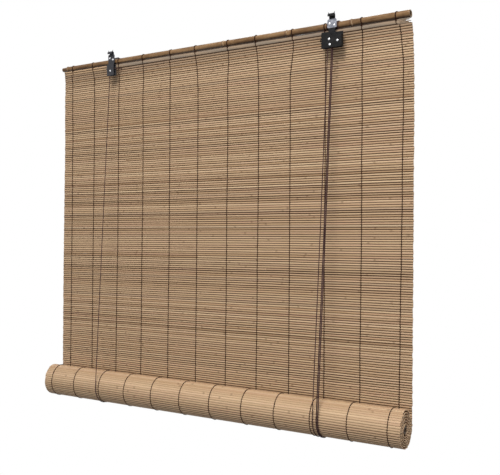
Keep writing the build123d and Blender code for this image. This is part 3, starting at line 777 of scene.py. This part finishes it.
def caneShape(name, left, right, nodes, radius, bore, back, up):
    places = list(np.arange(left, right, cane["step"]))
    for node in nodes:
        places += [(node + d) * mm for d in cane["nodeCuts"]]
    places = sorted(p for p in places if left + mm < p < right - mm)
    rim = cane["rim"]
    places = [left, left + rim["wide"], *places, right - rim["wide"], right]
    sides = cane["sides"]
    count = len(places)
    angles = [2 * pi * k / sides for k in range(sides)]
    verts, ring, cut = [], [], []
    for index, x in enumerate(places):
        near = min((x / mm - node for node in nodes), key=abs)
        swell = bell(near, *cane["swell"]) + bell(near, *cane["groove"])
        r = radius(x) + swell * mm - (rim["deep"] if index in (0, count - 1) else 0)
        dark, pale = bell(near, *cane["ring"]), bell(near, *cane["patch"])
        for angle in angles:
            uneven = 1 + 0.018 * sin(2 * angle + x * 4) + 0.01 * sin(3 * angle - x * 9)
            verts.append(place(x, back + r * uneven * cos(angle), up + r * uneven * sin(angle)))
            ring.append(dark)
            cut.append(pale * max(0.0, sin(angle + 2.2 + near)))
    faces = closeRings(count, sides)[:-2]
    for x, outer, inward in ((left, 0, 1), (right, (count - 1) * sides, -1)):
        loops = [outer]
        # The cut face is pale; inside, the wall darkens with depth, painted shade through the ring value
        for depth, paleness in ((0, 1.0), (mm, 0.4), (bore, 0.0)):
            loops.append(len(verts))
            r = radius(x) - cane["wall"]
            verts += [place(x + inward * depth, back + r * cos(a), up + r * sin(a)) for a in angles]
            ring += [1.0 - paleness] * sides
            cut += [paleness] * sides
        for first, second in zip(loops, loops[1:]):
            for k in range(sides):
                face = (first + k, first + (k + 1) % sides, second + (k + 1) % sides, second + k)
                faces.append(face[::-1] if inward == 1 else face)
        closing = tuple(loops[-1] + k for k in range(sides))
        faces.append(closing[::-1] if inward == 1 else closing)
    piece = makePiece(name, verts, faces, materials["cane"])
    setAttribute(piece.data, "ring", ring)
    setAttribute(piece.data, "cut", cut)
    return piece


headCane = caneShape("headCane", cane["left"], cane["right"], cane["nodes"], caneRadius, cane["bore"], 0, 0)
finishPiece(headCane, "head", ["head_rod"])
core = {"half": 598 * mm, "nodes": [-310, 205], "bore": 60 * mm, "r": 9.1 * mm}


def coreRadius(x):
    return core["r"]


coreCane = caneShape(
    "coreCane", -core["half"], core["half"], core["nodes"], coreRadius, core["bore"],
    roll["back"], roll["up"],
)
finishPiece(coreCane, "roll", ["core_rod"])
print("canes")

# Lashings: turns of thread round the cane, two strands down over the lath, and a knot in front
lash = {"r": 0.95 * mm, "turns": 2.6, "wide": 3.2 * mm, "knot": 1.3 * mm, "lean": 0.8 * mm}
lash["slack"] = 0.5 * mm
lash["overNode"] = 0.9 * mm


def lashing(x):
    near = min(abs(x / mm - node) for node in cane["nodes"])
    r = caneRadius(x) + (lash["overNode"] if near < 3 else 0) + lash["slack"]
    lean = dice.uniform(-lash["lean"], lash["lean"])
    helix = []
    for share in np.linspace(0, 1, 65):
        angle = -pi / 2 + 2 * pi * lash["turns"] * share
        along = (share - 0.5) * lash["wide"] + lean * sin(angle)
        helix.append(place(x + along, r * cos(angle), r * sin(angle)))
    parts = [tube(helix, lash["r"])]
    low = -mat["top"] - mat["lath"] - 0.4 * mm
    middle = (low - r) / 2
    for side in (-1, 1):
        start = place(x + side * 0.7 * mm, side * 3 * mm - mm, -r + 0.4 * mm)
        over = place(x + side * 0.35 * mm, matSet(mat["lath"] / 2) + side * 3.2 * mm, middle)
        end = place(x, matSet(mat["lath"]) + side * 0.6 * mm, low)
        line = []
        for share in np.linspace(0, 1, 13):
            point = start.lerp(over, share).lerp(over.lerp(end, share), share)
            line.append(point + Vector((0, side * 1.1 * mm * sin(pi * share), 0)))
        parts.append(tube(line, [lash["r"] * 1.2] * 5 + [lash["r"]] * 8))
    knot = []
    for angle in np.linspace(0, 4 * pi, 25):
        back = -4.6 * mm + 0.9 * mm * sin(angle * 1.5)
        knot.append(place(x + 1.5 * mm * cos(angle), back, -r - 1.2 * mm + 1.6 * mm * sin(angle)))
    parts.append(tube(knot, lash["knot"]))
    return gather(parts)


lashPlaces = [x + wander[0] * mm for x, wander in zip(warpPlaces, thread["wander"])]
verts, faces = gather([lashing(x) for x in lashPlaces])
finishPiece(makePiece("caneLashings", verts, faces, materials["thread"]), "head", ["rod_lashings"])
print("lashings")

# Ironwork: plates with worn edges, the folded covers, and what turns between them
iron = {"strapBack": 12.52 * mm, "strapFront": 13.92 * mm, "coverBack": 22.92 * mm, "coverFront": 24.32 * mm}
iron["edge"] = 0.35 * mm
iron["nodeEdge"] = 0.25 * mm
bracket = {"left": -376 * mm, "right": 388 * mm}
pulley = {"left": -384.75 * mm, "right": -357.25 * mm, "bottom": -47.5 * mm, "top": -12 * mm}
lock = {"left": 362.5 * mm, "right": 420 * mm, "bottom": -61 * mm, "top": -19.5 * mm, "step": -29 * mm}


def softEdges(piece, width):
    modifier = piece.modifiers.new("softEdges", "BEVEL")
    modifier.width = width
    modifier.segments = 2
    modifier.limit_method = "ANGLE"
    modifier.angle_limit = radians(35)


# A flat plate from its outline's corners, anticlockwise seen from the front
def plate(outline, back, front):
    count = len(outline)
    verts = [place(x, -front, up) for x, up in outline] + [place(x, -back, up) for x, up in outline]
    faces = [tuple(range(count)), tuple(range(2 * count - 1, count - 1, -1))]
    for k in range(count):
        following = (k + 1) % count
        faces.append((following, k, k + count, following + count))
    return verts, faces


def strapOutline(x, strapTop, shoulders, left, right, bottom, top):
    half = 13 * mm
    neck = 10 * mm
    cut = 2.4 * mm
    low = -6.5 * mm
    return [
        (left + mm, bottom), (right - mm, bottom), (right, bottom + mm), (right, top),
        (x + neck, top), (x + neck, low - 2 * mm), (x + half, low + shoulders),
        (x + half, strapTop - cut), (x + half - cut, strapTop),
        (x - half + cut, strapTop), (x - half, strapTop - cut),
        (x - half, low + shoulders), (x - neck, low - 2 * mm), (x - neck, top),
        (left, top), (left, bottom + mm),
    ]


def box(left, right, bottom, top, back, front):
    return plate([(left, bottom), (right, bottom), (right, top), (left, top)], back, front)


leftOutline = strapOutline(
    bracket["left"], 20.5 * mm, 0.5 * mm, pulley["left"], pulley["right"], pulley["bottom"], pulley["top"]
)
rightOutline = strapOutline(
    bracket["right"], 15.5 * mm, 0, lock["left"], lock["right"], lock["bottom"], lock["top"]
)
# The lock's cover in mm, with a step beside the strap
coverOutline = [
    (363.3, -61), (418.5, -61), (420, -59.5), (420, -29.6), (418.6, -29),
    (390, -29), (388, -27), (388, -19.5), (364, -19.5), (362.5, -21), (362.5, -60.2),
]
ironwork = [
    ("leftStrap", "left_back_plate", "greyPaint", [
        plate(leftOutline, iron["strapBack"], iron["strapFront"]),
    ]),
    ("rightStrap", "lock_back_plate", "strap", [
        plate(rightOutline, iron["strapBack"], iron["strapFront"]),
    ]),
    ("pulleyCover", "left_front_plate", "greyPaint", [
        box(
            pulley["left"], pulley["right"], pulley["bottom"], pulley["top"] - 0.5 * mm,
            iron["coverBack"], iron["coverFront"],
        ),
        box(-383.5 * mm, -358.5 * mm, -14 * mm, -12.6 * mm, iron["strapFront"], iron["coverBack"]),
    ]),
    ("lockCover", "lock_front_plate", "paint", [
        plate([(x * mm, up * mm) for x, up in coverOutline], iron["coverBack"], iron["coverFront"]),
        box(
            lock["right"] - 1.4 * mm, lock["right"], lock["bottom"], lock["step"],
            iron["strapFront"], iron["coverBack"],
        ),
    ]),
]
for name, node, look, shapes in ironwork:
    verts, faces = gather(shapes)
    piece = makePiece(name, verts, faces, materials[look], False)
    softEdges(piece, iron["edge"])
    finishPiece(piece, "head", [node])

# CAD nodes that stay as they are, in the finishes of the scene
carried = {
    "left_hanger": "greyPaint", "right_hanger": "paint", "left_sheave": "sheave",
    "lock_sheave": "sheave", "lock_cam": "steel", "guide_post": "steel",
}
for name, look in carried.items():
    node = frame["nodes"][name]
    node.data.materials.clear()
    node.data.materials.append(materials[look])
    softEdges(node, iron["nodeEdge"])

# Rivets, by their places along the blind and above the cane's axis, in mm
rivet = {"shank": 1.6 * mm, "head": 3.1 * mm, "rise": 1.6 * mm, "sides": 28}
rivet["hanger"] = [(-382.5, 9.5), (-369.5, 4.2), (381.5, 4), (394.5, -1)]
rivet["axle"] = [(-371, -32.6), (384.9, -38.5), (408.5, -44.5), (386.6, -52.5)]


# A domed head that faces the front, with its shank behind it and the shank's spread end
def rivetBlank(name, shank):
    rise, r = rivet["rise"], rivet["shank"]
    tail = [(-shank - 0.7 * mm, r * 0.5), (-shank - 0.6 * mm, r * 1.2), (-shank, r * 1.35), (-shank, r)]
    dome = [(rise * sin(a), rivet["head"] * cos(a)) for a in np.linspace(0, pi / 2 * 0.985, 8)]
    verts, faces = turned((0, 0, 0), (0, -1, 0), [*tail, (0, r), (0, rivet["head"]), *dome], rivet["sides"])
    blank = makePiece(name, verts, faces, materials["rivet"])
    setAttribute(blank.data, "side", [0.0] * len(verts))
    return blank


rivetSets = [
    ("hangerRivets", "hanger_rivets", iron["strapFront"], 2.9 * mm, rivet["hanger"]),
    ("axleRivets", "axle_rivets", iron["coverFront"], 11.8 * mm, rivet["axle"]),
]
for name, node, front, shank, places in rivetSets:
    blank = rivetBlank(name + "Blank", shank)
    rows = [{"at": place(x * mm, -front, up * mm)} for x, up in places]
    finishPiece(layCopies(name, blank, rows, materials["rivet"]), "head", [node])
    bpy.data.objects.remove(blank)
print("ironwork")

# Cords: each line is a smooth curve through given points, the same as the solid cords follow
cord = {"r": 1.15 * mm, "pull": 1.45 * mm, "mid": 18.42 * mm, "front": 20.52 * mm, "back": 16.32 * mm}
cord["sling"] = 44.6 * mm
cord["leftExit"] = -49.5 * mm
cord["lockExit"] = -63 * mm
cord["clear"] = 1.4 * mm
cord["sag"] = 2.9 * mm  # how much further from the roll a loop runs at its back end
cord["bow"] = {"share": 0.148, "back": 16.9 * mm, "up": -150 * mm}  # where a back cord clears the mat
hitch = {"gap": 1.2 * mm, "ring": 1.0 * mm, "knot": 0.95 * mm, "drop": -3 * mm, "out": 2.2 * mm}


def cordLine(name, points, r):
    data = bpy.data.curves.new(name, "CURVE")
    data.dimensions = "3D"
    data.resolution_u = 24
    spline = data.splines.new("NURBS")
    spline.points.add(len(points) - 1)
    for target, point in zip(spline.points, points):
        target.co = (*point, 1)
    spline.order_u = 3
    spline.use_endpoint_u = True
    data.bevel_depth = r
    data.bevel_resolution = 2
    data.use_fill_caps = True
    curve = bpy.data.objects.new(name + "Curve", data)
    bpy.context.scene.collection.objects.link(curve)
    bpy.context.view_layer.update()
    graph = bpy.context.evaluated_depsgraph_get()
    mesh = bpy.data.meshes.new_from_object(curve.evaluated_get(graph))
    mesh.name = name
    bpy.data.objects.remove(curve)
    mesh.materials.clear()
    mesh.materials.append(materials["cord"])
    mesh.polygons.foreach_set("use_smooth", [True] * len(mesh.polygons))
    piece = bpy.data.objects.new(name, mesh)
    bpy.context.scene.collection.objects.link(piece)
    return piece


# How far round the roll, from its back over its top, a tight cord from above meets it
def touchTurn(lane, exitUp):
    behind = -lane - roll["back"]
    above = exitUp - roll["up"]
    return atan2(above, behind) + acos(cord["sling"] / hypot(behind, above))


# Where each cord meets the roll, along the blind in mm
feet = {"left": -372.2, "right": 369.3, "pullA": 380.5, "pullB": 384.5}
frontCords = [
    ("left_lift_front", -378.2, cord["mid"], cord["leftExit"], feet["left"], cord["r"]),
    ("right_lift_front", 379.3, cord["front"], cord["lockExit"], feet["right"], cord["r"]),
    ("pull_front_a", 390.5, cord["front"], cord["lockExit"], feet["pullA"], cord["pull"]),
    ("pull_front_b", 392.0, cord["back"], cord["lockExit"], feet["pullB"], cord["pull"]),
]
slings = []
for name, x, lane, exitUp, footX, r in frontCords:
    touch = touchTurn(lane, exitUp)
    top = place(x * mm, -lane, exitUp)
    footBack = roll["back"] + cord["sling"] * cos(touch)
    foot = place(footX * mm, footBack, roll["up"] + cord["sling"] * sin(touch))
    middle = top.lerp(foot, 0.5) + Vector((dice.uniform(-1.2, 1.2) * mm, 0, 0))
    rope = cordLine(name + "_rope", [top, top.lerp(foot, 0.15), middle, top.lerp(foot, 0.85), foot], r)
    finishPiece(rope, "head", [name], top, foot.z)
    line = []
    for share in np.linspace(0, 1, 61):
        out = cord["clear"] + r + cord["sag"] * share**4
        line.append(place(footX * mm, *rollPoint(share * (2 * pi - touch), out)))
    slings.append(tube(line, r, 10))
verts, faces = gather(slings)
finishPiece(makePiece("rollSlings", verts, faces, materials["cord"]), "slings", ["roll_slings"])

backCords = [
    ("left_lift_back", -388.0, feet["left"]), ("right_lift_back", 371.3, feet["right"]),
    ("pull_back_a", 400.0, feet["pullA"]), ("pull_back_b", 403.5, feet["pullB"]),
]
hitches = []
for name, hitchX, footX in backCords:
    r = caneRadius(hitchX * mm) + hitch["gap"]
    top = place(hitchX * mm, r + hitch["out"], hitch["drop"])
    foot = place(footX * mm, roll["back"] + cord["sling"], roll["up"])
    bowX = hitchX + (footX - hitchX) * cord["bow"]["share"]
    bow = place(bowX * mm, cord["bow"]["back"], cord["bow"]["up"])
    rope = cordLine(name + "_rope", [top, bow, bow.lerp(foot, 0.5), foot], cord["r"])
    finishPiece(rope, "head", [name], top, foot.z)
    angles = np.linspace(0, 2 * pi, 41)[:-1]
    ring = [place(hitchX * mm + 0.4 * mm * sin(a), r * cos(a), r * sin(a)) for a in angles]
    hitches.append(tube(ring, hitch["ring"], 8, True))
    knot = []
    for a in np.linspace(0, 4 * pi, 31):
        across = hitchX * mm + 1.3 * mm * cos(a)
        knot.append(place(across, r + hitch["gap"] + mm * sin(1.5 * a), 1.6 * mm * sin(a)))
    hitches.append(tube(knot, hitch["knot"], 8))
verts, faces = gather(hitches)
finishPiece(makePiece("cordHitches", verts, faces, materials["cord"]), "head", ["cord_hitches"])

# Over the sheaves, and between the brackets behind the mat
sheaves = {"left": (-371 * mm, -32.6 * mm, 7.2 * mm), "lock": (384.9 * mm, -38.5 * mm, 5.6 * mm)}
behindMat = 6 * mm


def overSheave(sheave, lane, start, end):
    x, up, r = sheave
    return [place(x + r * cos(a), -lane, up + r * sin(a)) for a in np.linspace(start, end, 20)]


overLeft = sheaves["left"][1] + sheaves["left"][2]
overLock = sheaves["lock"][1] + sheaves["lock"][2]
leftRun = overSheave(sheaves["left"], cord["mid"], pi, pi / 2)
rightRun = overSheave(sheaves["lock"], cord["back"], pi / 2, 0)
across = cordLine("acrossLine", [
    leftRun[-1],
    place(-360 * mm, -cord["mid"], overLeft),
    place(-352.4 * mm, -cord["mid"], overLeft),
    place(-338.5 * mm, behindMat, overLeft),
    place(-325 * mm, behindMat, overLeft),
    place(0, behindMat, (overLeft + overLock) / 2),
    place(331 * mm, behindMat, overLock),
    place(344.9 * mm, behindMat, overLock),
    place(357.6 * mm, -cord["back"], overLock),
    place(364 * mm, -cord["back"], overLock),
    rightRun[0],
], cord["r"])
acrossVerts = [vert.co.copy() for vert in across.data.vertices]
acrossShape = (acrossVerts, [tuple(face.vertices) for face in across.data.polygons])
bpy.data.objects.remove(across)
lockArc = overSheave(sheaves["lock"], cord["front"], pi, 0)
lockArc.insert(0, place(379.3 * mm, -cord["front"], cord["lockExit"]))
lockArc.append(place(390.5 * mm, -cord["front"], cord["lockExit"]))
verts, faces = gather([
    tube([place(-378.2 * mm, -cord["mid"], cord["leftExit"]), *leftRun], cord["r"]),
    acrossShape,
    tube([*rightRun, place(390.5 * mm, -cord["back"], cord["lockExit"])], cord["r"]),
    tube(lockArc, cord["r"]),
])
finishPiece(makePiece("topCords", verts, faces, materials["cord"]), "head", ["top_cords"])
print("cords")
